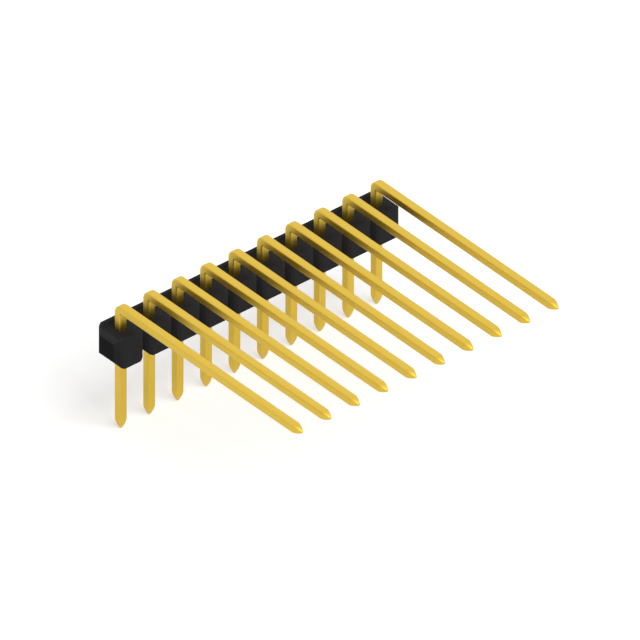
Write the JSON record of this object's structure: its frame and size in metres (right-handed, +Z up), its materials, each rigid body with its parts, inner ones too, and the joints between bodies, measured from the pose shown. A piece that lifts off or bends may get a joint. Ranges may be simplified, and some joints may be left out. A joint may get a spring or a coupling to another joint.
{
  "type": "angled pin header strip",
  "caption": "Single-row pin header: square gold pins rise through a notched black insulator, turn forward over it and end in points.",
  "frame": {"origin": "middle of the row, on the insulator's underside, which faces the board", "axes": "+X along the row, +Z up out of the board, the bent legs point to -Y"},
  "size_m": [0.0254, 0.0206, 0.0104],
  "materials": {
    "insulator": "moulded black thermoplastic, satin",
    "pin": "square wire with a thin gold plating, satin"
  },
  "bodies": {
    "root": {"insulator": "insulator", "pin_1": "pin", "pin_2": "pin", "pin_3": "pin", "pin_4": "pin", "pin_5": "pin", "pin_6": "pin", "pin_7": "pin", "pin_8": "pin", "pin_9": "pin", "pin_10": "pin"}
  },
  "joints": []
}
